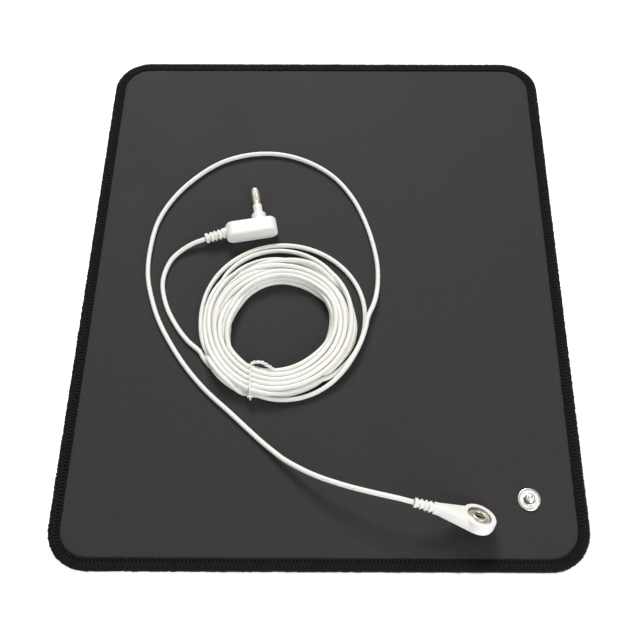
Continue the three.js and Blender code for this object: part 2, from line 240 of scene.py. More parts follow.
LEATHER = leather_material()
RUBBER = rubber_material()
THREAD = thread_material("edge_thread", (0.002, 0.002, 0.0018), (0.0105, 0.0105, 0.0095))
# Painted shade: a near-black copy of the edge thread, for the shade under and between the threads.
THREAD_SHADE = thread_material("edge_thread_painted_shade", (0.0005, 0.0005, 0.0004), (0.0012, 0.0012, 0.001))
NICKEL = metal_material("nickel", (0.86, 0.85, 0.82), (0.78, 0.76, 0.71), 0.3)
SOCKET_METAL = metal_material("socket_nickel", (0.9, 0.84, 0.79), (0.8, 0.73, 0.67), 0.42)
# Painted shade: dark brownish metal lining the connector's mouth and bore, for the shade and dark
# reflections in the recess.
MOUTH_SHADE_METAL = metal_material("socket_mouth_painted_shade", (0.34, 0.32, 0.26), (0.28, 0.26, 0.2), 0.4)
SPRING_METAL = metal_material("spring_brass", (0.7, 0.66, 0.42), (0.55, 0.5, 0.3), 0.28)
PIN_METAL = metal_material("pin_metal", (0.84, 0.8, 0.71), (0.74, 0.69, 0.59), 0.58)
# Painted shade: dark brown metal for the stud's collar, for the shade round the neck under its cap.
NECK_SHADE_METAL = metal_material("stud_neck_painted_shade", (0.2, 0.18, 0.14), (0.12, 0.1, 0.075), 0.45)
PLASTIC = plastic_material("white_plastic", (0.86, 0.85, 0.815), (0.83, 0.82, 0.78), 0.38, 2600.0, 0.15)
JACKET = plastic_material("cord_jacket", (0.88, 0.872, 0.83), (0.85, 0.84, 0.79), 0.42, 1800.0, 0.3)
TIE_PLASTIC = plastic_material("tie_plastic", (0.86, 0.86, 0.84), (0.8, 0.8, 0.78), 0.3, 3000.0, 0.1)


# Meshes

def added(name, data, slot=None):
    """A new object in the scene, which rides on the CAD body when it has a material slot."""
    made = bpy.data.objects.new(name, data)
    scene.collection.objects.link(made)
    if slot:
        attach(made, "root")
    return made


def mesh_object(name, shells, material, slot, sharp=None):
    """One object from (points, faces, uv) shells in mm. uv is None, or a row for each face's corners."""
    points, faces, uvs, start = [], [], [], 0
    for shell_points, shell_faces, shell_uv in shells:
        points.append(np.asarray(shell_points, float))
        faces += [[i + start for i in face] for face in shell_faces]
        uvs.append(shell_uv)
        start += len(shell_points)
    mesh = bpy.data.meshes.new(name)
    mesh.from_pydata((np.concatenate(points) * MM).tolist(), [], faces)
    if uvs[0] is not None:
        layer = mesh.uv_layers.new(name="thread")
        layer.uv.foreach_set("vector", np.concatenate(uvs).astype(np.float32).ravel())
    mesh.polygons.foreach_set("use_smooth", np.ones(len(mesh.polygons), bool))
    if uvs[0] is None:
        work = bmesh.new()
        work.from_mesh(mesh)
        bmesh.ops.recalc_face_normals(work, faces=work.faces)
        work.to_mesh(mesh)
        work.free()
    if sharp is not None:
        mesh.set_sharp_from_angle(angle=math.radians(sharp))
    mesh.materials.append(material)
    return added(name, mesh, slot)


def rounded(corners, steps=5):
    """Points along a line through (x, y, radius) corners, with each corner rounded to its radius."""
    out = []
    for i, (x, y, radius) in enumerate(corners):
        here = np.array((x, y), float)
        if radius == 0 or i in (0, len(corners) - 1):
            out.append(here)
            continue
        a = np.array(corners[i - 1][:2], float) - here
        b = np.array(corners[i + 1][:2], float) - here
        reach_a, reach_b = np.linalg.norm(a), np.linalg.norm(b)
        a, b = a / reach_a, b / reach_b
        half = math.acos(float(np.clip(a @ b, -1, 1))) / 2
        cut = min(radius / math.tan(half), reach_a * 0.49, reach_b * 0.49)
        middle = here + (a + b) / np.linalg.norm(a + b) * cut / math.cos(half)
        u, v = here + a * cut - middle, here + b * cut - middle
        sweep = math.pi - 2 * half
        for k in range(steps + 1):
            t = k / steps
            blend = math.sin((1 - t) * sweep) * u + math.sin(t * sweep) * v
            out.append(middle + blend / math.sin(sweep))
    return np.array(out)


def turned(profile, segments=96):
    """Closed shell of revolution about Z. The profile runs from axis to axis, or closes on itself."""
    profile = np.asarray(profile, float)
    angle = np.arange(segments) / segments * TAU
    points, rings = [], []
    for radius, z in profile:
        if radius < 1e-6:
            rings.append([len(points)])
            points.append((0, 0, z))
        else:
            rings.append(list(range(len(points), len(points) + segments)))
            points += [(radius * math.cos(a), radius * math.sin(a), z) for a in angle]
    if np.allclose(profile[0], profile[-1]):
        rings[-1] = rings[0]
    faces = []
    for a, b in zip(rings, rings[1:]):
        for i in range(segments):
            j = (i + 1) % segments
            corners = [a[i % len(a)], a[j % len(a)], b[j % len(b)], b[i % len(b)]]
            faces.append(list(dict.fromkeys(corners)))
    return np.array(points), faces, None


def lofted(rings):
    """Closed shell through rings of points, with flat ends."""
    rings = np.asarray(rings, float)
    count, sides = rings.shape[:2]
    faces = [list(range(sides))[::-1], list(range((count - 1) * sides, count * sides))]
    for i in range(count - 1):
        for j in range(sides):
            k = (j + 1) % sides
            faces.append([i * sides + j, i * sides + k, (i + 1) * sides + k, (i + 1) * sides + j])
    return rings.reshape(-1, 3), faces, None


def tubes(paths, radius, sides, closed=False):
    """Round threads along (count, steps, 3) paths, as one shell with UVs."""
    paths = np.asarray(paths, float)
    count, steps, _ = paths.shape
    ahead = np.roll(paths, -1, 1) - np.roll(paths, 1, 1)
    if not closed:
        ahead[:, 0] = paths[:, 1] - paths[:, 0]
        ahead[:, -1] = paths[:, -1] - paths[:, -2]
    ahead /= np.linalg.norm(ahead, axis=2, keepdims=True)
    side = np.cross(ahead, np.array((0.0, 0.0, 1.0)))
    short = np.linalg.norm(side, axis=2, keepdims=True)
    side = np.where(short < 0.05, np.cross(ahead, np.array((1.0, 0.0, 0.0))), side)
    side /= np.linalg.norm(side, axis=2, keepdims=True)
    up = np.cross(side, ahead)
    radius = np.broadcast_to(np.asarray(radius, float), (count, steps))
    turn = np.arange(sides) / sides * TAU
    ring = side[:, :, None] * np.cos(turn)[:, None] + up[:, :, None] * np.sin(turn)[:, None]
    points = paths[:, :, None] + ring * radius[:, :, None, None]
    spans = steps if closed else steps - 1
    thread, i, j = np.meshgrid(np.arange(count), np.arange(spans), np.arange(sides), indexing="ij")
    base = thread * steps * sides
    i2, j2 = (i + 1) % steps, (j + 1) % sides
    quads = np.stack([base + i * sides + j, base + i * sides + j2,
                      base + i2 * sides + j2, base + i2 * sides + j], -1)
    along = np.linalg.norm(np.diff(paths, axis=1, append=paths[:, :1]), axis=2).cumsum(1)
    along = np.concatenate([np.zeros((count, 1)), along], 1)
    here, there = along[thread, i], along[thread, i + 1]
    uv = np.stack([np.stack([here, j / sides], -1), np.stack([here, (j + 1) / sides], -1),
                   np.stack([there, (j + 1) / sides], -1), np.stack([there, j / sides], -1)], -2)
    faces = quads.reshape(-1, 4).tolist()
    uv = uv.reshape(-1, 2)
    if not closed:
        first = (np.arange(count) * steps * sides)[:, None] + np.arange(sides)[::-1]
        last = (np.arange(count) * steps * sides)[:, None] + (steps - 1) * sides + np.arange(sides)
        faces += first.tolist() + last.tolist()
        uv = np.concatenate([uv, np.zeros((2 * count * sides, 2))])
    return points.reshape(-1, 3), faces, uv


def evaluated(made, name):
    """Mesh of an object with its modifiers applied. The object is removed."""
    mesh = bpy.data.meshes.new_from_object(made.evaluated_get(bpy.context.evaluated_depsgraph_get()))
    mesh.name = name
    bpy.data.objects.remove(made)
    return mesh


def moulded(name, shells, material, slot, matrix, voxel, cutters=()):
    """One skin over overlapping closed shells, as a moulding: cutters taken out, edges softened."""
    work = mesh_object(name + "_work", shells, material, None)
    remesh = work.modifiers.new("skin", "REMESH")
    remesh.mode = "VOXEL"
    remesh.voxel_size = voxel * MM * 1
    for i, cutter in enumerate(cutters):
        tool = mesh_object(f"{name}_cutter_{i}", [cutter], material, None)
        tool.hide_render = True
        cut = work.modifiers.new("cut", "BOOLEAN")
        cut.object = tool
        cut.operation = "DIFFERENCE"
    smooth = work.modifiers.new("soften", "SMOOTH")
    smooth.factor = 0.5
    smooth.iterations = 4
    bpy.context.view_layer.update()
    mesh = evaluated(work, name)
    for i in range(len(cutters)):
        bpy.data.objects.remove(bpy.data.objects[f"{name}_cutter_{i}"])
    mesh.transform(Matrix.Scale(MM, 4) @ matrix @ Matrix.Scale(1 / MM, 4))
    mesh.polygons.foreach_set("use_smooth", np.ones(len(mesh.polygons), bool))
    return added(name, mesh, slot)


def smooth_line(points, step):
    """Curve through the points, with a point about every step."""
    p = np.asarray(points, float)
    p = np.vstack([2 * p[0] - p[1], p, 2 * p[-1] - p[-2]])
    gap = np.linalg.norm(np.diff(p, axis=0), axis=1) ** 0.5
    out = []
    for i in range(1, len(p) - 2):
        g0, g1, g2 = gap[i - 1:i + 2]
        start = ((p[i] - p[i - 1]) / g0 - (p[i + 1] - p[i - 1]) / (g0 + g1) + (p[i + 1] - p[i]) / g1) * g1
        end = ((p[i + 1] - p[i]) / g1 - (p[i + 2] - p[i]) / (g1 + g2) + (p[i + 2] - p[i + 1]) / g2) * g1
        count = max(1, round(np.linalg.norm(p[i + 1] - p[i]) / step))
        t = (np.arange(count) / count)[:, None]
        out.append((2 * t**3 - 3 * t**2 + 1) * p[i] + (t**3 - 2 * t**2 + t) * start
                   + (3 * t**2 - 2 * t**3) * p[i + 1] + (t**3 - t**2) * end)
    return np.concatenate([*out, p[-2:-1]])


# The lead: its routes are those of the CAD model, and the coil between them is laid turn by turn

LEAD_ROUTE = [
    (42.7, -121.6, 16.9), (36.6, -120.1, 17.3), (23.3, -116.8, 16.3), (9.9, -112.5, 13.6),
    (-3.8, -106.7, 10.3), (-16.8, -98.9, 7), (-22.6, -94.2, 5.7), (-28.5, -89.1, 4.85),
    (-44.2, -74.6, 4.65), (-57.8, -62.1, 4.65), (-70.5, -46.9, 4.65), (-82.9, -26.6, 4.65),
    (-88.2, -13.5, 4.65), (-92.1, 1.8, 4.65), (-92.5, 18.3, 4.65), (-89.9, 35.7, 4.65),
    (-82.5, 51.4, 4.65), (-71.5, 64.7, 4.65), (-57.9, 75.2, 4.65), (-41.8, 80.6, 4.65),
    (-24.9, 80.7, 4.65), (-8.7, 75.2, 4.65), (5.4, 65, 4.65), (15.9, 50.7, 4.65),
    (22.7, 35, 4.65), (26.8, 20.2, 4.65), (28.8, 6.8, 4.65), (28.4, -6, 5.05), (26.5, -15.4, 6.55),
]
TAIL_ROUTE = [
    (-68.2, -35.9, 4.65), (-75.2, -26.6, 4.65), (-81.2, -14.8, 4.65), (-83.9, -1.4, 4.65),
    (-80.8, 11, 4.65), (-75.6, 17, 5.05), (-69.8, 20.6, 6.05), (-63.2, 23.2, 6.75),
]

# Degrees travelled clockwise round the coil are measured from where the lead comes in, at ENTRY degrees
STEP = 5.0
PER_TURN = 72
ENTRY = 5.0
TURNS = 16
COIL_END = TURNS * 360 + 163.7
PITCH = 2.5
INNERMOST = 26.1
ROW = 2.1
BUNDLE_MIDDLE = 32.6

# The turns settle in rounds: first drawn towards their places, then almost free to move apart
DRAWN_ROUNDS = 560
LOOSE_ROUNDS = 140

# The tie crosses the bundle at this angle, and leans by so many mm along it for each mm outwards
TIE_ANGLE = -113
TIE_SLANT = 0.42
TIE_MIDDLE = 33.5
TIE_WIRE = 0.5

# Stretches that the photograph shows: (degrees travelled, radius, height above the lowest cord's centre)
STRETCHES = [
    [(-8, 48.9, 1.4), (0, 44.9, 2.7), (10, 42.4, 2.5), (20, 41.4, 2.3), (30, 40.6, 2.5), (40, 40.6, 2.2),
     (50, 41.3, 1.2), (65, 41.4, 0.1), (75, 41.2, 0), (85, 40.8, 0), (98, 40, 0.3), (118, 38.9, 0.9),
     (150, 39.3, 1.6), (185, 39.6, 1.6), (200, 41.2, 1), (215, 43.7, 0.3), (230, 45.7, 0),
     (245, 46.9, 0), (260, 48.1, 0), (271, 48.5, 0), (285, 48.5, 0), (300, 47.7, 0), (310, 47.3, 0),
     (320, 46.8, 0), (330, 46.3, 0), (341, 45.6, 0), (352, 44.4, 0), (363, 43.5, 0), (375, 42.4, 0),
     (385, 41.2, 0), (396, 39.6, 0), (410, 38.4, 0)],
    [(590, 43.1, 0.2), (603, 44.4, 0), (615, 45.5, 0), (630, 45.6, 0), (641, 44.9, 0), (651, 43.9, 0),
     (660.5, 42.7, 0), (672, 41.2, 0.1)],
    [(960, 40.6, 0.3), (967, 40.7, 0), (976, 40.7, 0), (985, 40.4, 0), (998, 39.8, 0)],
    [(5860, 38.3, 0), (5880, 38.8, 0), (5900, 39.2, 0), (5912, 40, 0), (5923.7, 42.4, 0)],
]

# The hole isn't quite round and the bundle's width changes: (degrees, inner shift, outer radius)
OUTLINE = [
    (0, 0.2, 39.5), (15, 1, 38.8), (30, 1.2, 39.2), (45, 0.1, 40.3), (60, -0.3, 39.2),
    (75, -0.4, 38.7), (90, -0.2, 37.7), (105, -0.4, 37.4), (120, -0.8, 37.3), (135, -1.2, 39.6),
    (150, -1.8, 42), (165, -1.5, 42), (180, -0.4, 40.6), (195, 1, 40), (210, 2.3, 41),
    (225, 2.1, 41.5), (240, 1.6, 41.2), (255, 1.1, 40), (270, 0.3, 40), (285, -0.4, 38.6),
    (300, -0.8, 38.2), (315, -0.8, 38.9), (330, -0.6, 37.9), (345, -0.3, 39.6), (360, 0.2, 39.5),
]


def ease(x):
    x = np.clip(x, 0, 1)
    return x * x * (3 - 2 * x)


def bundle_limits(travelled):
    """How far the bundle's inner edge is moved outwards, and the largest radius of a cord's centre."""
    around, inward, outward = np.array(OUTLINE).T
    at_angle = (ENTRY - travelled) % 360
    return np.interp(at_angle, around, inward), np.interp(at_angle, around, outward) - CORD / 2


def coil_seats():
    """Where the turns lie in the coil's section, from the last one laid to the first."""
    def row(count, start, level):
        return [(INNERMOST + PITCH * (start + i), FLOOR + ROW * level) for i in range(count)]
    bottom, middle, top = row(6, 0, 0), row(5, 0.5, 1), row(4, 1, 2)
    return [(39.5, FLOOR + 1), middle[4], top[3], middle[3], top[2], middle[2], top[1], middle[1], top[0],
            middle[0], *bottom, bottom[-1]]


def coil_goals(travelled):
    """Where each point of the coil should lie, and how firmly the photograph holds it there."""
    rng = np.random.default_rng(4)
    seats = np.array(coil_seats())
    turn = np.clip((travelled / 360).astype(int), 0, len(seats) - 2)
    share = ease(travelled / 360 - turn)[:, None]
    goal = seats[turn] * (1 - share) + seats[turn + 1] * share
    knots = np.arange(0, COIL_END + 200, 55.0)
    inner, _ = bundle_limits(travelled)
    goal[:, 0] += inner + np.interp(travelled, knots, rng.normal(0, 1.0, len(knots)))
    goal[:, 1] += np.interp(travelled, knots, rng.normal(0, 0.5, len(knots)))
    hold = np.zeros(len(travelled))
    ramp = 30.0
    for stretch in STRETCHES:
        at, radius, lift = np.array(stretch).T
        weight = ease((travelled - at[0] + ramp) / ramp) * ease((at[-1] + ramp - travelled) / ramp)
        if at[0] < 0:
            weight = np.where(travelled < ramp, 1.0, weight)
        if at[-1] >= COIL_END - 1:
            weight = np.where(travelled > COIL_END - ramp, 1.0, weight)
        goal[:, 0] += weight * (np.interp(travelled, at, radius) - goal[:, 0])
        goal[:, 1] += weight * (FLOOR + np.interp(travelled, at, lift) - goal[:, 1])
        hold = np.maximum(hold, weight)
    from_tie = (ENTRY - travelled - TIE_ANGLE + 180) % 360 - 180
    goal[:, 0] -= 0.1 * np.exp(-((from_tie / 15.0) ** 2)) * (goal[:, 0] - BUNDLE_MIDDLE)
    return goal, hold


def lay_coil():
    """Centreline of the coil: turns start near their seats, push each other apart and settle."""
    travelled = np.arange(0, COIL_END + STEP / 2, STEP)
    count = len(travelled)
    goal, hold = coil_goals(travelled)
    inner, outer = bundle_limits(travelled)
    rounds = math.ceil(count / PER_TURN)
    total = rounds * PER_TURN
    at = goal.copy()
    grid = np.full((total, 2), np.nan)
    held = np.zeros(total)
    held[:count] = hold
    held = held.reshape(rounds, PER_TURN).T
    own = np.arange(rounds)
    # Of two turns that meet, the one that the photograph settles gives way least
    gives = (1.02 - held[:, :, None]) / (2.04 - held[:, :, None] - held[:, None, :])
    # A turn that lies just where another does gives way upwards or downwards
    over = 0.1 * np.sign(own[None, :] - own[:, None])
    kernel = np.exp(-0.5 * (np.arange(-6, 7) / 2.0) ** 2)
    kernel /= kernel.sum()
    pull, least_pull, held_pull, sink = 0.05, 0.003, 0.25, 0.03
    spacing = CORD * 1.02
    for i in range(DRAWN_ROUNDS + LOOSE_ROUNDS):
        late = min(1, i / DRAWN_ROUNDS)
        easing = 1 if i < DRAWN_ROUNDS else 0.03
        at += easing * (pull * (1 - late) + least_pull + held_pull * hold**2)[:, None] * (goal - at)
        at[:, 1] -= easing * sink * (1 - hold)
        at[1:-1] += (0.3 if late < 0.9 else 0.12) * ((at[:-2] + at[2:]) / 2 - at[1:-1])
        for _ in range(3):
            grid[:count] = at
            by_angle = grid.reshape(rounds, PER_TURN, 2).transpose(1, 0, 2)
            apart = np.nan_to_num(by_angle[:, :, None] - by_angle[:, None], nan=99.0)
            apart[..., 1] += over
            distance = np.sqrt((apart**2).sum(-1))
            push = np.clip(spacing - distance, 0, None)
            push[:, own, own] = 0
            shift = (apart * (push * gives / np.maximum(distance, 1e-6))[..., None]).sum(2)
            shift /= np.sqrt(np.maximum((push > 0).sum(2), 1))[..., None]
            shift = shift.transpose(1, 0, 2).reshape(total, 2)[:count]
            padded = np.pad(shift, ((6, 6), (0, 0)), "edge")
            even = np.stack([np.convolve(padded[:, k], kernel, "valid") for k in (0, 1)], 1)
            free = (1 - hold)[:, None]
            at += 0.8 * ((1 - 0.55 * free) * shift + 0.9 * free * even)
            at[:, 1] = np.maximum(at[:, 1], FLOOR)
            at[:, 0] = np.maximum(at[:, 0], COIL_HOLE + CORD / 2 + inner)
            at[:, 0] -= 0.25 * (1 - hold) * np.maximum(at[:, 0] - outer, 0)
    angle = np.radians(ENTRY - travelled)
    around = np.stack([np.cos(angle), np.sin(angle)], 1)
    return np.concatenate([COIL_CENTRE + at[:, :1] * around, at[:, 1:]], 1), at


coil_line, coil_section = lay_coil()
cord_line = smooth_line(np.concatenate([LEAD_ROUTE, coil_line, TAIL_ROUTE]), 1.7)


def cord_object(line):
    curve = bpy.data.curves.new("lead_cord", "CURVE")
    curve.dimensions = "3D"
    spline = curve.splines.new("POLY")
    spline.points.add(len(line) - 1)
    points = np.concatenate([line * MM, np.ones((len(line), 1))], 1)
    spline.points.foreach_set("co", points.astype(np.float32).ravel())
    spline.use_smooth = True
    curve.bevel_depth = CORD / 2 * MM
    curve.bevel_resolution = 3
    curve.use_fill_caps = True
    curve.materials.append(JACKET)
    made = added("lead_cord", curve, "cord_jacket")
    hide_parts("cord_lead", "cord_coil", "cord_loose_turn", "cord_tail")
    return made


cord = cord_object(cord_line)


# The pad's sheet and its overlocked edge

STITCHES = 604
RIM_LINE = 3.0
RIM_POINTS = 480


def on_rim(along, inset, height):
    """Points beside the pad's outline: along counts stitches from the front end of the right side."""
    along, inset, height = np.broadcast_arrays(np.asarray(along, float), inset, height)
    x, y = PAD_WIDTH / 2 - CORNER, PAD_LENGTH / 2 - CORNER
    arc = (CORNER - RIM_LINE) * TAU / 4
    sections = [2 * y, arc, 2 * x, arc, 2 * y, arc, 2 * x, arc]
    ends = np.cumsum(sections)
    distance = (along / STITCHES % 1.0) * ends[-1]
    which = np.minimum(np.searchsorted(ends, distance, side="right"), 7)
    share = (distance - (ends - sections)[which]) / np.array(sections)[which]
    corners = np.array([(x, -y), (x, y), (x, y), (-x, y), (-x, y), (-x, -y), (-x, -y), (x, -y)])
    targets = np.roll(corners, -1, 0)
    straight = which % 2 == 0
    along_side = np.where(straight, share, 0)[..., None]
    base = corners[which] + along_side * (targets - corners)[which]
    angle = (which // 2 + np.where(straight, 0, share)) * TAU / 4
    out = np.stack([np.cos(angle), np.sin(angle)], -1) * (CORNER - inset)[..., None]
    return np.concatenate([base + out, height[..., None]], -1)


def ring_strip(profile, count=RIM_POINTS, closed=False):
    """Shell around the pad from a profile of (inset, height) points, open at its first and last ring."""
    profile = np.asarray(profile, float)
    steps = rim_steps(count)
    rings = np.array([on_rim(steps, inset, height) for inset, height in profile])
    total, around = rings.shape[:2]
    faces = []
    for i in range(total if closed else total - 1):
        for j in range(around):
            k = (j + 1) % around
            a, b = i * around, (i + 1) % total * around
            faces.append([a + j, a + k, b + k, b + j])
    return rings.reshape(-1, 3), faces, None


def rim_steps(count):
    """Stitch numbers around the pad, closer together at the corners."""
    arc = (CORNER - RIM_LINE) * TAU / 4
    x, y = PAD_WIDTH - 2 * CORNER, PAD_LENGTH - 2 * CORNER
    lengths = [y, arc, x, arc, y, arc, x, arc]
    shares = np.cumsum([0, *lengths]) / sum(lengths) * STITCHES
    dense = count // 6
    sparse = (count - 4 * dense) // 4
    return np.concatenate([
        np.linspace(a, b, sparse if i % 2 == 0 else dense, endpoint=False)
        for i, (a, b) in enumerate(zip(shares, shares[1:]))])


def pad_sheet():
    """The sheet, pressed thinner at its rim by the stitches, with the rivet's hole and recess."""
    profile = rounded([(9, 0, 0), (6.1, 0, 0.3), (5.4, 0.35, 0.4), (1.4, 0.5, 0.5), (1.4, 2.8, 0.5),
                       (4.8, 2.85, 0.6), (6.4, 3.24, 0.9), (8, PAD_TOP, 0.8), (9, PAD_TOP, 0)], 4)
    points, faces, _ = ring_strip(profile)
    mesh = bpy.data.meshes.new("pad_sheet")
    mesh.from_pydata((points * MM).tolist(), [], faces)
    work = bmesh.new()
    work.from_mesh(mesh)
    count = len(rim_steps(RIM_POINTS))
    work.verts.ensure_lookup_table()
    hole = rounded([(6.5, 0, 0), (5.3, 0, 0.15), (5.3, 0.55, 0.15), (1.4, 0.55, 0), (1.4, PAD_TOP, 0),
                    (6.5, PAD_TOP, 0)], 3)
    rings = []
    segments = 64
    angles = np.arange(segments) / segments * TAU
    x, y = STUD_AT
    for radius, z in hole:
        places = [(x + radius * math.cos(a), y + radius * math.sin(a), z) for a in angles]
        rings.append([work.verts.new(Vector(place) * MM) for place in places])
    for a, b in zip(rings, rings[1:]):
        for i in range(segments):
            j = (i + 1) % segments
            work.faces.new([a[i], a[j], b[j], b[i]])
    work.verts.ensure_lookup_table()
    total = len(profile)
    for rim, ring in ((0, rings[0]), (total - 1, rings[-1])):
        loop = [work.verts[rim * count + j] for j in range(count)]
        edges = [work.edges.get((loop[j], loop[(j + 1) % count])) for j in range(count)]
        edges += [work.edges.get((ring[j], ring[(j + 1) % segments])) for j in range(segments)]
        bmesh.ops.triangle_fill(work, edges=edges, use_beauty=True)
    bmesh.ops.recalc_face_normals(work, faces=work.faces)
    for face in work.faces:
        face.smooth = True
        if face.normal.z < -0.5 and face.calc_center_median().z < 1.0 * MM:
            face.material_index = 1
    work.to_mesh(mesh)
    work.free()
    mesh.set_sharp_from_angle(angle=math.radians(35))
    mesh.materials.append(LEATHER)
    mesh.materials.append(RUBBER)
    made = added("pad_sheet", mesh, "pad_leather")
    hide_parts("mat_sheet")


def edge_piece(name, shells, material=THREAD):
    made = mesh_object(name, shells, material, "edge_thread")
    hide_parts("edge_stitching")


def thread_row(route, radius, sides, rng, per_stitch=1, sway=0.05):
    """A thread at every stitch: route is (stitches along, inset, height) for each of its points."""
    route = np.asarray(route, float)
    count = STITCHES * per_stitch
    start = np.arange(count) / per_stitch
    along = start[:, None] + route[:, 0] + rng.normal(0, sway, (count, 1))
    inset = route[:, 1] + rng.normal(0, 0.09, (count, 1)) + rng.normal(0, 0.03, (count, len(route)))
    height = route[:, 2] + rng.normal(0, 0.035, (count, 1))
    thick = radius * (1 + rng.normal(0, 0.07, (count, 1))) * np.ones(len(route))
    return tubes(on_rim(along, inset, height), thick, sides)


def overlocked_edge():
    rng = np.random.default_rng(7)
    base = rounded([(5.3, 3.28, 0), (4.7, 3.42, 0.3), (1.5, 3.45, 0.9), (0.55, 2.9, 0.8), (0.5, 1.2, 0.5),
                    (0.7, 0.4, 0.6), (1.6, 0.14, 0.5), (5.2, 0.14, 0), (5.2, 0.24, 0), (1.25, 0.38, 0.4),
                    (1.25, 2.93, 0.4), (4.7, 2.98, 0.3), (5.3, 3.12, 0)], 3)
    # The binding under the threads wears the near-black painted-shade thread, so the gaps between the
    # threads read as shade.
    edge_piece("edge_binding", [ring_strip(base, 720, closed=True)], THREAD_SHADE)
    tooth = [(0.0, 5.75, 3.02), (0.02, 5.5, 3.3), (0.05, 5.1, 3.5), (0.09, 4.5, 3.62), (0.13, 3.9, 3.64),
             (0.16, 3.4, 3.5)]
    below = [(0.0, 5.2, 0.4), (0.05, 4.7, 0.36), (0.1, 4.1, 0.34), (0.15, 3.5, 0.36)]
    edge_piece("edge_needle_stitches", [thread_row(tooth, 0.36, 8, rng), thread_row(below, 0.3, 6, rng)])
    top = [(0.0, 3.9, 3.42), (0.12, 3.5, 3.62), (0.28, 2.7, 3.74), (0.42, 1.9, 3.66), (0.52, 1.3, 3.5)]
    back = [(0.52, 1.3, 3.5), (0.6, 1.9, 3.64), (0.74, 2.7, 3.7), (0.9, 3.5, 3.6), (1.0, 3.9, 3.42)]
    edge_piece("edge_looper_zigzag", [thread_row(top, 0.36, 8, rng), thread_row(back, 0.33, 8, rng)])
    wrap = [(0.0, 2.1, 3.42), (0.05, 1.3, 3.42), (0.1, 0.72, 3.1), (0.15, 0.42, 2.55), (0.2, 0.34, 1.9),
            (0.25, 0.36, 1.25), (0.3, 0.62, 0.68), (0.35, 1.2, 0.38), (0.4, 2.2, 0.34), (0.45, 3.4, 0.34)]
    edge_piece("edge_wrap_threads", [thread_row(wrap, 0.33, 6, rng, per_stitch=2, sway=0.04)])
    # Painted shade: short near-black beads at the inner edge of the stitching stand in for the shade in
    # the needle holes.
    hole_shade_route = [(0.5, 5.75, 3.3), (0.5, 5.5, 3.5), (0.5, 5.1, 3.62), (0.5, 4.7, 3.5)]
    edge_piece("edge_needle_hole_shade", [thread_row(hole_shade_route, 0.46, 6, rng, sway=0.03)], THREAD_SHADE)


overlocked_edge()
pad_sheet()


# Press stud and rivet

def stud_and_rivet():
    flange = rounded([(0, 2.4, 0), (1.4, 2.4, 0), (1.4, 0, 0.1), (5.05, 0, 0.1), (5.4, 0.12, 0.15),
                      (5.4, 0.55, 0.3), (5.0, 0.78, 0.3), (4.3, 0.62, 0.5), (2.75, 0.66, 0.3),
                      (2.3, 0.9, 0.3), (1.85, 1.5, 0.6), (1.95, 1.95, 0.4), (2.3, 2.5, 0.4),
                      (2.25, 3.1, 0.5), (1.75, 3.6, 0.4), (1.1, 3.62, 0.25), (0.75, 3.35, 0.2),
                      (0, 3.3, 0)], 5)
    on_top = (*STUD_AT, PAD_TOP)
    # The collar round the stud's neck gets the dark painted-shade metal.
    collar = rounded([(1.6, 0.8, 0), (2.6, 0.8, 0.1), (2.2, 1.3, 0.3), (2.0, 1.7, 0.3), (2.15, 2.3, 0.1),
                      (1.6, 2.3, 0), (1.6, 0.8, 0)], 4)
    points, faces, _ = turned(collar)
    neck = mesh_object("stud_neck_painted_shade", [(points + on_top, faces, None)], NECK_SHADE_METAL, "nickel", 50)
    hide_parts("snap_stud")
    points, faces, _ = turned(flange)
    stud = mesh_object("press_stud", [(points + on_top, faces, None)], NICKEL, "nickel", 50)
    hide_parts("snap_stud")
    rivet = rounded([(0, 0.08, 0), (4.6, 0, 0.8), (5, 0.2, 0.2), (5, 0.5, 0.1), (1.1, 0.5, 0.1),
                     (1.1, 5.3, 0.2), (0, 5.3, 0)], 5)
    points, faces, _ = turned(rivet)
    disc = mesh_object("stud_rivet", [(points + (*STUD_AT, 0), faces, None)], NICKEL, "nickel", 50)
    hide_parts("snap_rivet")


stud_and_rivet()


# Strain reliefs

SLOT = 1.1
SLOT_PITCH = 2.15
CORE = 1.35
BORE = 1.42


def along_x(shell):
    """A shell turned from Z to +X."""
    points, faces, uv = shell
    return points[:, [2, 1, 0]] * (1, -1, 1), faces, uv


def strain_relief(length, start_radius, end_radius):
    """Shells along +X: ribs, webs between them in turn upright and level, and the cord's bore."""
    def radius_at(x):
        return start_radius + (end_radius - start_radius) * x / length
    count = int((length - SLOT) // SLOT_PITCH)
    gaps = [(SLOT_PITCH * (i + 1) - SLOT / 2, SLOT_PITCH * (i + 1) + SLOT / 2) for i in range(count)]
    starts = [0, *[b for a, b in gaps]]
    ends = [*[a for a, b in gaps], length + 1]
    shells = []
    for i, (a, b) in enumerate(zip(starts, ends)):
        r = radius_at((a + b) / 2)
        edge = 0.3
        if i == 0:
            rib = [(BORE, a + 1.5, 0), (BORE, a, 0.1), (r, a, edge), (r, b, edge), (0.6, b, 0),
                   (0.6, a + 1.5, 0), (BORE, a + 1.5, 0)]
            hub = [(0, a + 1.3, 0), (1.7, a + 1.3, 0), (1.7, b, 0), (0, b, 0)]
            shells.append(along_x(turned(rounded(hub), 48)))
        else:
            rib = [(0, a, 0), (r, a, edge), (r, b, edge), (0, b, 0)]
        shells.append(along_x(turned(rounded(rib), 48)))
    angle = np.arange(48) / 48 * TAU
    for i, (a, b) in enumerate(gaps):
        r = radius_at((a + b) / 2) - 0.65
        y, z = np.cos(angle) * r, np.sin(angle) * r
        if i % 2 == 0:
            y = np.clip(y, -CORE, CORE)
        else:
            z = np.clip(z, -CORE, CORE)
        shells.append(lofted([np.stack([np.full(48, x), y, z], 1) for x in (a - 0.4, b + 0.4)]))
    return shells


# Snap connector

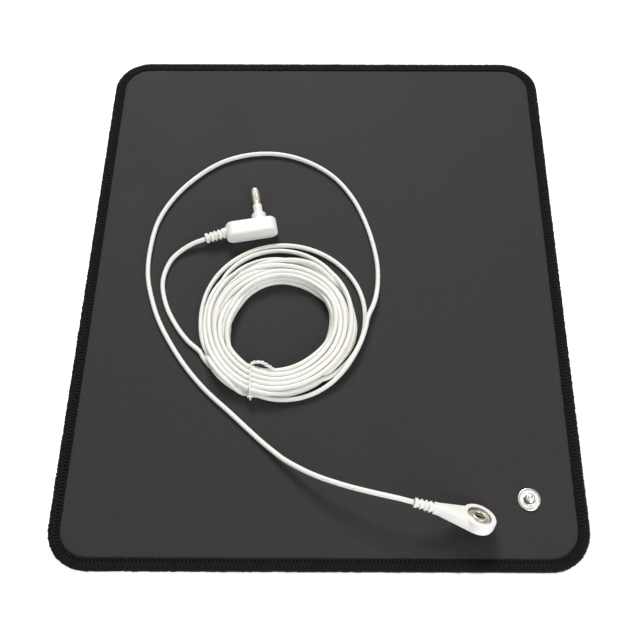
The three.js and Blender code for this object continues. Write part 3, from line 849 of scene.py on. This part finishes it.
HEAD_RADIUS = 8.1
HALF_HEAD = 2.9
MOUTH = 5.75
MOUTH_DEPTH = 2.1
CONNECTOR_RELIEF = 11.4
CONNECTOR_NECK = 2.85


def hull_shell(points):
    work = bmesh.new()
    for point in points:
        work.verts.new(point)
    bmesh.ops.convex_hull(work, input=work.verts)
    loose = [v for v in work.verts if not v.link_faces]
    bmesh.ops.delete(work, geom=loose, context="VERTS")
    work.verts.index_update()
    shell = np.array([v.co for v in work.verts]), [[v.index for v in f.verts] for f in work.faces], None
    work.free()
    return shell


def connector_arm():
    """From the relief's neck to the head: lower than the head's rim, with its top edge sloped."""
    back = 1.2 - HALF_HEAD
    rings = rounded([(0, -HALF_HEAD, 0), (7.8, -HALF_HEAD, 1.6), (7.8, back + 0.9, 1.5), (6.9, 2, 1.1),
                     (0, 2, 0)], 5)
    points = []
    for i in range(64):
        c, s = math.cos(i / 64 * TAU), math.sin(i / 64 * TAU)
        points.append((CONNECTOR_RELIEF, CONNECTOR_NECK * c, CONNECTOR_NECK * s))
        points += [(CONNECTOR_REACH + r * c, r * s, z) for r, z in rings[1:-1]]
    return hull_shell(points)


def snap_connector():
    floor = HALF_HEAD - MOUTH_DEPTH
    cup = rounded([(0, -HALF_HEAD, 0), (HEAD_RADIUS, -HALF_HEAD, 2.1), (HEAD_RADIUS, HALF_HEAD, 0.8),
                   (MOUTH, HALF_HEAD, 0.3), (MOUTH, floor, 0), (3.7, floor, 0.2), (3.7, -1, 0),
                   (0, -1, 0)], 6)
    points, faces, _ = turned(cup)
    head = (points + (CONNECTOR_REACH, 0, 0), faces, None)
    shells = [head, connector_arm(), *strain_relief(CONNECTOR_RELIEF, 2.2, CONNECTOR_NECK)]
    mouth = rounded([(0, -0.98, 0), (3.68, -0.98, 0), (3.68, floor + 0.02, 0),
                     (MOUTH - 0.02, floor + 0.02, 0), (MOUTH - 0.02, 9, 0), (0, 9, 0)])
    points, faces, _ = turned(mouth)
    cutter = (points + (CONNECTOR_REACH, 0, 0), faces, None)
    made = moulded("connector_housing", shells, PLASTIC, "white_plastic", CONNECTOR, 0.17, [cutter])
    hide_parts("snap_connector")
    return made


def snap_socket():
    """Metal socket in the mouth: a flange with an upright edge, a rolled lip and two spring wires."""
    seat = HALF_HEAD - MOUTH_DEPTH + 0.1
    top = seat + 0.65
    cup = rounded([(0, -0.8, 0), (3.5, -0.8, 0.3), (3.5, seat, 0.1), (5.6, seat, 0.1), (5.6, top, 0.1),
                   (4.1, top, 0.4), (3.6, 2.3, 0.4), (3.35, 2.85, 0.35), (2.75, 2.8, 0.35),
                   (2.5, 2.3, 0.3), (2.45, 0, 0.4), (0, -0.2, 0)], 6)
    rim = rounded([(5.3, top, 0), (5.68, top, 0), (5.68, 2.45, 0.1), (5.45, 2.45, 0.1),
                   (5.3, top, 0)], 4)
    bore = rounded([(0, -0.15, 0), (2.44, -0.15, 0), (2.44, 2, 0), (2.3, 2, 0), (2.25, 0.1, 0.2),
                    (0, 0.1, 0)], 4)
    shells = []
    for profile in (cup, rim, bore):
        points, faces, _ = turned(profile)
        shells.append((moved(CONNECTOR, points + (CONNECTOR_REACH, 0, 0)), faces, None))
    socket = mesh_object("connector_socket_shell", [shells[0]], SOCKET_METAL, "nickel", 50)
    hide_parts("connector_socket")
    # The mouth's wall and the bore get a lining in the dark painted-shade metal.
    shade_lining = mesh_object("connector_mouth_shade_lining", shells[1:], MOUTH_SHADE_METAL, "nickel", 50)
    wires = []
    for side in (-1, 1):
        x = np.linspace(-2.0, 2.0, 16)
        y = side * (1.15 + 0.4 * np.cos(x / 2 * math.pi))
        line = np.stack([CONNECTOR_REACH + x, y, np.full(16, 1.75)], 1)
        wires.append(tubes([moved(CONNECTOR, line)], 0.27, 10))
    spring = mesh_object("connector_spring", wires, SPRING_METAL, "nickel")
    return socket, shade_lining, spring


connector = snap_connector()
socket, shade_lining, spring = snap_socket()


# Plug

PLUG_RELIEF = 11
PLUG_NECK = 2.75
PLUG_LEAN = math.radians(6)


def plug_ring(inset, y):
    """The plug's outline in its own XZ plane, moved in by inset, at depth y."""
    half_x, half_z, corner = 13.7 - inset, 4.6 - inset, 4 - inset
    points = []
    for quarter, (sx, sz) in enumerate(((1, 1), (-1, 1), (-1, -1), (1, -1))):
        for k in range(13):
            a = (quarter + k / 12) * TAU / 4
            points.append((24.9 + sx * (half_x - corner) + corner * math.cos(a), y,
                           sz * (half_z - corner) + corner * math.sin(a)))
    return points


def along_pin(shell):
    """A shell turned from Z to +Y, on the pin's axis."""
    points, faces, uv = shell
    return points[:, [0, 2, 1]] * (-1, 1, 1) + (PIN_X, 0, 0), faces, uv


def plug_housing():
    profile = rounded([(3.9, -4.55, 0), (0, -4.55, 0.6), (0, 4.55, 2.2), (3.9, 4.55, 0)], 8)
    block = lofted([plug_ring(inset, y) for inset, y in profile])
    nose = rounded([(0, 0, 0), (4, 0, 0), (4, 7.95, 0.3), (2.45, 9.45, 0.4), (2.45, 14.45, 0.25),
                    (1.6, 14.45, 0.1), (1.6, 13, 0), (0, 13, 0)], 5)
    lean = Matrix.Rotation(PLUG_LEAN, 4, "Z") @ Matrix.Rotation(-PLUG_LEAN, 4, "Y")
    lean = Matrix.Translation((PLUG_RELIEF, 0, 0)) @ lean @ Matrix.Translation((-PLUG_RELIEF, 0, 0))
    shells = [block, along_pin(turned(nose))]
    for points, faces, _ in strain_relief(PLUG_RELIEF, PLUG_NECK, PLUG_NECK):
        shells.append((moved(lean, points), faces, None))
    made = moulded("plug_housing", shells, PLASTIC, "white_plastic", PLUG, 0.2)
    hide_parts("plug_body")
    return made


def pin_leaf(quarter):
    """One of the four sprung leaves around the pin's axis, which is Z here."""
    slot = 0.17
    heights = np.linspace(16.4, 24.4, 17)
    rings = []
    for z in heights:
        outer = np.interp(z, [16.4, 19, 21.2, 23.6, 24.4], [1.9, 2.06, 2.06, 1.92, 1.78])
        edge = math.asin(slot / outer)
        a = np.linspace(edge, TAU / 4 - edge, 9) + quarter * TAU / 4
        arc = np.stack([outer * np.cos(a), outer * np.sin(a)], 1)
        b = (quarter + 0.5) * TAU / 4
        core = np.array([(math.cos(b), math.sin(b))]) * slot * 1.7
        ring = np.concatenate([arc, core])
        rings.append(np.concatenate([ring, np.full((len(ring), 1), z)], 1))
    return lofted(rings)


def plug_pin():
    base = rounded([(0, 13.2, 0), (1.4, 13.2, 0), (1.4, 14.75, 0), (1.8, 14.75, 0.15), (1.9, 16.5, 0.1),
                    (0, 16.5, 0)], 4)
    point = rounded([(0, 24.3, 0), (1.76, 24.3, 0.1), (1.5, 25.2, 0.6), (0.9, 25.8, 0.5),
                     (0, 25.85, 0)], 6)
    shells = [turned(base), turned(point), *[pin_leaf(quarter) for quarter in range(4)]]
    placed = []
    for shell in shells:
        points, faces, _ = along_pin(shell)
        placed.append((moved(PLUG, points), faces, None))
    made = mesh_object("plug_pin_leaves", placed, PIN_METAL, "pin_metal", 40)
    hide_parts("plug_pin")
    return made


plug = plug_housing()
pin = plug_pin()


# Wire tie around the coil

def tie_frame(points):
    """Points given as (radial, tangential, height) at the tie, in the pad's frame."""
    turn = Matrix.Translation((*COIL_CENTRE, 0)) @ Matrix.Rotation(math.radians(TIE_ANGLE), 4, "Z")
    return moved(turn, points)


def bundle_outline(clearance):
    """Closed outline of the turns where the tie crosses them, as (radius, height) points."""
    travelled = np.arange(len(coil_section)) * STEP
    laps = 360 * np.arange(TURNS + 1)
    marks = np.concatenate([(ENTRY - TIE_ANGLE + aside) % 360 + laps for aside in (-4, 0, 4, 8)])
    marks = marks[marks <= travelled[-1]]
    centres = np.stack([np.interp(marks, travelled, coil_section[:, k]) for k in (0, 1)], 1)
    turn = np.arange(180) / 180 * TAU
    direction = np.stack([np.cos(turn), np.sin(turn)], 1)
    reach = (centres @ direction.T).max(0) + CORD / 2 + clearance
    step = turn[1]
    slope = (np.roll(reach, -1) - np.roll(reach, 1)) / (2 * step)
    across = np.stack([-direction[:, 1], direction[:, 0]], 1)
    outline = direction * reach[:, None] + across * slope[:, None]
    outline[:, 1] = np.maximum(outline[:, 1], PAD_TOP + clearance + 0.05)
    return outline


def wire_tie():
    outline = bundle_outline(0.35)
    loop = np.stack([outline[:, 0], TIE_SLANT * (outline[:, 0] - TIE_MIDDLE), outline[:, 1]], 1)
    band = tubes([tie_frame(loop)], TIE_WIRE, 12, closed=True)
    outer = outline[np.argmax(outline[:, 0])]
    wind = np.linspace(0, 1.6 * TAU, 24)
    slant = TIE_SLANT * (outer[0] - TIE_MIDDLE)
    knot = np.stack([outer[0] - 0.4 + 0.6 * np.cos(wind), slant + np.linspace(-0.9, 0.9, 24),
                     outer[1] + 0.8 + 0.6 * np.sin(wind)], 1)
    step = 0.5
    tail = smooth_line([(26.6, -3.2, 10), (25.6, -1.7, 10.6), (24.2, 1.5, 10.7), (24.4, 5.2, 10.3),
                        (25, 8.4, 9.8)], step)
    shells = [band, tubes([tie_frame(knot)], TIE_WIRE, 10)]
    for phase in (0, math.pi):
        along = np.arange(len(tail)) * step
        wind = phase + along / 4.2 * TAU
        offset = np.stack([0.5 * np.cos(wind), 0.2 * np.sin(wind), 0.45 * np.sin(wind)], 1)
        shells.append(tubes([tie_frame(tail + offset)], TIE_WIRE, 10))
    made = mesh_object("coil_wire_tie", shells, TIE_PLASTIC, "tie_plastic")
    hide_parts("coil_tie")
    return made


tie = wire_tie()


# Floor, light and camera, in metres

CAMERA_AT = (0.0115, -0.2244, 0.4039)
CAMERA_YAW = 0.39
CAMERA_TILT = 26.66
CAMERA_ROLL = -0.14
CAMERA_LENS = 49.02
CAMERA_SHIFT = -0.0344


def stage():
    size = 3.0
    gap = 0.0002
    mesh = bpy.data.meshes.new("floor")
    corners = [(-size, -size, 0), (size, -size, 0), (size, size, 0), (-size, size, 0)]
    mesh.from_pydata(corners, [], [(0, 1, 2, 3)])
    made, shader = principled("floor_white", (0.86, 0.86, 0.86), 0.9, specular=0.1)
    shader.inputs["Emission Color"].default_value = (1, 1, 1, 1)
    shader.inputs["Emission Strength"].default_value = 0.6
    mesh.materials.append(made)
    floor = added("floor", mesh)
    floor.location.z = -gap


def light(name, direction, distance, size, power):
    data = bpy.data.lights.new(name, "AREA")
    data.shape = "DISK"
    data.size = size
    data.energy = power
    lamp = added(name, data)
    toward = Vector(direction).normalized()
    lamp.location = toward * distance
    lamp.rotation_euler = toward.to_track_quat("Z", "Y").to_euler()


def look():
    world = bpy.data.worlds.new("studio")
    world.use_nodes = True
    background = world.node_tree.nodes["Background"]
    background.inputs["Color"].default_value = (1, 1, 1, 1)
    background.inputs["Strength"].default_value = 0.3
    scene.world = world
    light("key", (-0.12, 0.76, 0.64), 3, 1.2, 76)
    light("top", (0.36, 0.1, 0.93), 0.9, 0.4, 0.6)
    light("fill", (0.42, -0.78, 0.46), 1.15, 0.9, 7.8)
    scene.view_settings.view_transform = "Standard"
    data = bpy.data.cameras.new("camera")
    data.lens = CAMERA_LENS
    data.sensor_width = 36
    data.shift_x = CAMERA_SHIFT
    camera = added("camera", data)
    turn = (Matrix.Rotation(math.radians(CAMERA_YAW), 4, "Z")
            @ Matrix.Rotation(math.radians(CAMERA_TILT), 4, "X")
            @ Matrix.Rotation(math.radians(CAMERA_ROLL), 4, "Z"))
    camera.matrix_world = Matrix.Translation(CAMERA_AT) @ turn
    scene.camera = camera


stage()
look()
